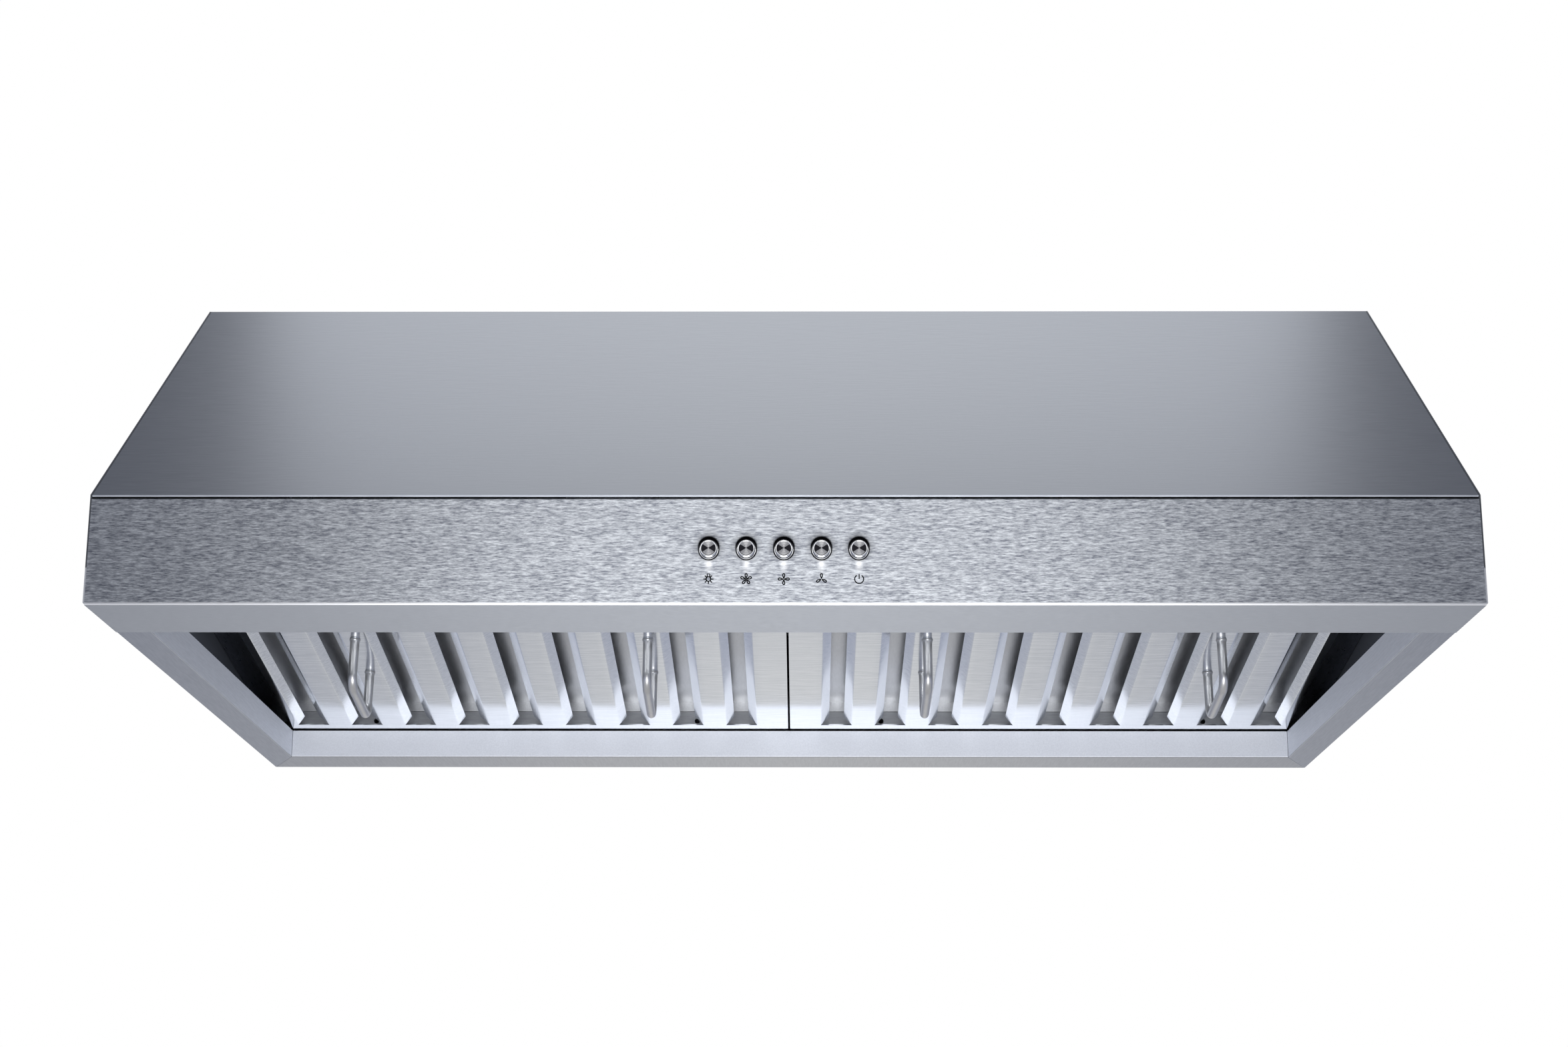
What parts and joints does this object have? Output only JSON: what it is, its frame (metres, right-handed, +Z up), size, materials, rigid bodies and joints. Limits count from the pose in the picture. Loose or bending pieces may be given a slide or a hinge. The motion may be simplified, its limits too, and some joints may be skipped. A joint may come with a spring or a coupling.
{
  "type": "under cabinet range hood",
  "caption": "Wedge-shaped stainless under-cabinet range hood with push buttons, drop-down baffle grease filters, lamps, blower and round top duct collar with damper.",
  "frame": {"origin": "centre of the cabinet screw pattern on the top sheet's outer face, which is also on the duct collar's axis", "axes": "+X to the user's right along the hood's width, +Y to the wall, +Z up into the cabinet"},
  "size_m": [0.756, 0.531, 0.2855],
  "materials": {
    "stainless_brushed": "long-grain brushed",
    "stainless_inner": "mill satin",
    "galvanised": "galvanised, spangled",
    "stainless_bright": "polished stainless",
    "chrome": "bright",
    "button_metal": "turned face, bright rim",
    "spring_steel": "bright zinc",
    "turned_aluminium": "cast and turned",
    "motor_iron": "varnished laminations",
    "lens_glass": "frosted",
    "lamp_board_white": "white board",
    "black_plastic": "moulded",
    "black_rubber": "matt"
  },
  "bodies": {
    "hood": {"back_panel": "stainless_brushed", "blower_scroll": "galvanised", "blower_side_left": "galvanised", "blower_side_right": "galvanised", "button_bezels": "chrome", "button_springs": "spring_steel", "capacitor_clip": "galvanised", "corner_brackets": "galvanised", "damper_pin": "spring_steel", "duct_collar": "galvanised", "filter_catches": "spring_steel", "filter_rail_left": "stainless_inner", "filter_rail_right": "stainless_inner", "front_panel": "stainless_brushed", "inlet_rings": "galvanised", "internal_leads": "black_rubber", "knockout_plate": "galvanised", "lamp_bezels": "chrome", "lamp_boards": "lamp_board_white", "lamp_clips": "spring_steel", "lamp_driver": "black_plastic", "lamp_housings": "turned_aluminium", "lamp_lenses": "lens_glass", "lamp_panel": "stainless_inner", "motor_bearings": "spring_steel", "motor_bracket": "galvanised", "motor_casing_front": "turned_aluminium", "motor_casing_rear": "turned_aluminium", "motor_stator": "motor_iron", "rear_duct_cover": "galvanised", "rubber_bushes": "black_rubber", "run_capacitor": "black_plastic", "screws": "spring_steel", "side_panel_left": "stainless_brushed", "side_panel_right": "stainless_brushed", "switch_block": "black_plastic", "switch_bracket": "galvanised", "terminal_block": "black_plastic", "top_wrap": "stainless_brushed", "wiring_box": "galvanised", "wiring_box_cover": "galvanised"},
    "filter_left": {"filter_baffles_left": "stainless_bright", "filter_face_left": "stainless_bright", "filter_frame_left": "stainless_bright", "filter_handles_left": "chrome"},
    "filter_right": {"filter_baffles_right": "stainless_bright", "filter_face_right": "stainless_bright", "filter_frame_right": "stainless_bright", "filter_handles_right": "chrome"},
    "blower_wheel": {"impeller": "galvanised", "impeller_hub": "turned_aluminium", "motor_shaft": "spring_steel", "motor_rotor": "motor_iron"},
    "damper_front": {"damper_flap_front": "galvanised"},
    "damper_rear": {"damper_flap_rear": "galvanised"},
    "push_light": {"button_light": "button_metal"},
    "push_fan_high": {"button_fan_high": "button_metal"},
    "push_fan_medium": {"button_fan_medium": "button_metal"},
    "push_fan_low": {"button_fan_low": "button_metal"},
    "push_power": {"button_power": "button_metal"}
  },
  "joints": [
    {"name": "filter_left_drop", "type": "hinge", "parent": "hood", "child": "filter_left", "pos_m": [0, 0.0633, -0.2325], "axis": [1, 0, 0], "range_deg": [0, 65]},
    {"name": "filter_right_drop", "type": "hinge", "parent": "hood", "child": "filter_right", "pos_m": [0, 0.0633, -0.2325], "axis": [1, 0, 0], "range_deg": [0, 65]},
    {"name": "blower_spin", "type": "hinge", "parent": "hood", "child": "blower_wheel", "pos_m": [0, -0.052, -0.1015], "axis": [1, 0, 0], "continuous": true},
    {"name": "damper_rear_open", "type": "hinge", "parent": "hood", "child": "damper_rear", "pos_m": [0, 0, 0.014], "axis": [1, 0, 0], "range_deg": [0, 75]},
    {"name": "damper_front_open", "type": "hinge", "parent": "hood", "child": "damper_front", "pos_m": [0, 0, 0.014], "axis": [-1, 0, 0], "range_deg": [0, 75]},
    {"name": "light_press", "type": "slide", "parent": "hood", "child": "push_light", "axis": [0, 1, 0], "range_m": [0, 0.003], "stiffness_N_per_m": 400, "springref_m": -0.003, "deforming": ["button_springs"]},
    {"name": "fan_high_press", "type": "slide", "parent": "hood", "child": "push_fan_high", "axis": [0, 1, 0], "range_m": [0, 0.003], "stiffness_N_per_m": 400, "springref_m": -0.003, "deforming": ["button_springs"]},
    {"name": "fan_medium_press", "type": "slide", "parent": "hood", "child": "push_fan_medium", "axis": [0, 1, 0], "range_m": [0, 0.003], "stiffness_N_per_m": 400, "springref_m": -0.003, "deforming": ["button_springs"]},
    {"name": "fan_low_press", "type": "slide", "parent": "hood", "child": "push_fan_low", "axis": [0, 1, 0], "range_m": [0, 0.003], "stiffness_N_per_m": 400, "springref_m": -0.003, "deforming": ["button_springs"]},
    {"name": "power_press", "type": "slide", "parent": "hood", "child": "push_power", "axis": [0, 1, 0], "range_m": [0, 0.003], "stiffness_N_per_m": 400, "springref_m": -0.003, "deforming": ["button_springs"]}
  ]
}
